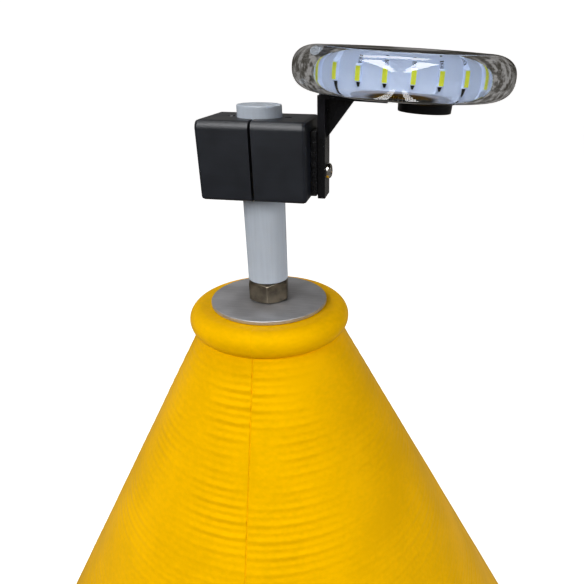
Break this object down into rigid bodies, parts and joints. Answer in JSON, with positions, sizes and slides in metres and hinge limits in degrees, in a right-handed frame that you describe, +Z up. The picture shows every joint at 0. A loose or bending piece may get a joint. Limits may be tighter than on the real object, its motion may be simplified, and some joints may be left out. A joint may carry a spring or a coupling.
{
  "type": "navigation buoy",
  "caption": "Yellow conical marker buoy on a flat foot ring, with a clear solar lantern clamped to its short mast and a swivelling mooring eye in the base recess.",
  "frame": {"origin": "on the buoy's axis at floor height, under the foot ring", "axes": "+Z up along the mast; +X towards the lantern as clamped at rest"},
  "size_m": [0.58, 0.58, 0.8687],
  "materials": {
    "float": "moulded polyethylene, soft gloss with fine broken ripples",
    "washer_plate": "matt stainless plate",
    "stainless": "plain stainless hardware",
    "nylon": "turned natural nylon, slightly translucent",
    "ballast": "rough black-painted casting",
    "galvanised": "dull galvanised forging",
    "clamp_block": "blue-black polyethylene block",
    "black_plastic": "black plastic, low gloss",
    "clear_lens": "clear polycarbonate",
    "led_board": "white board with yellow-green emitters",
    "solar_panel": "dark blue cells under clear resin"
  },
  "bodies": {
    "buoy": {"float_hull": "float", "top_washer_plate": "washer_plate", "through_rod": "stainless", "hex_nut_top": "stainless", "nylon_mast": "nylon", "ballast_disc": "ballast", "bottom_washer_plate": "washer_plate", "hex_nut_bottom": "stainless", "end_nut": "stainless"},
    "lamp_clamp": {"clamp_half_left": "clamp_block", "clamp_half_right": "clamp_block", "clamp_bolt_front": "stainless", "clamp_bolt_rear": "stainless", "bracket_spacer": "black_plastic", "lamp_bracket": "black_plastic", "bracket_screw": "stainless", "lamp_screw_inner": "stainless", "lamp_screw_outer": "stainless", "lamp_base": "black_plastic", "lamp_cap": "black_plastic", "lamp_lens": "clear_lens", "led_ring": "led_board", "solar_panel": "solar_panel"},
    "mooring_swivel": {"mooring_eye": "galvanised"}
  },
  "joints": [
    {"name": "lamp_clamp_turn", "type": "hinge", "parent": "buoy", "child": "lamp_clamp", "pos_m": [0, 0, 0.8133], "axis": [0, 0, 1], "continuous": true},
    {"name": "mooring_eye_turn", "type": "hinge", "parent": "buoy", "child": "mooring_swivel", "pos_m": [0, 0, 0.072], "axis": [0, 0, 1], "continuous": true}
  ]
}
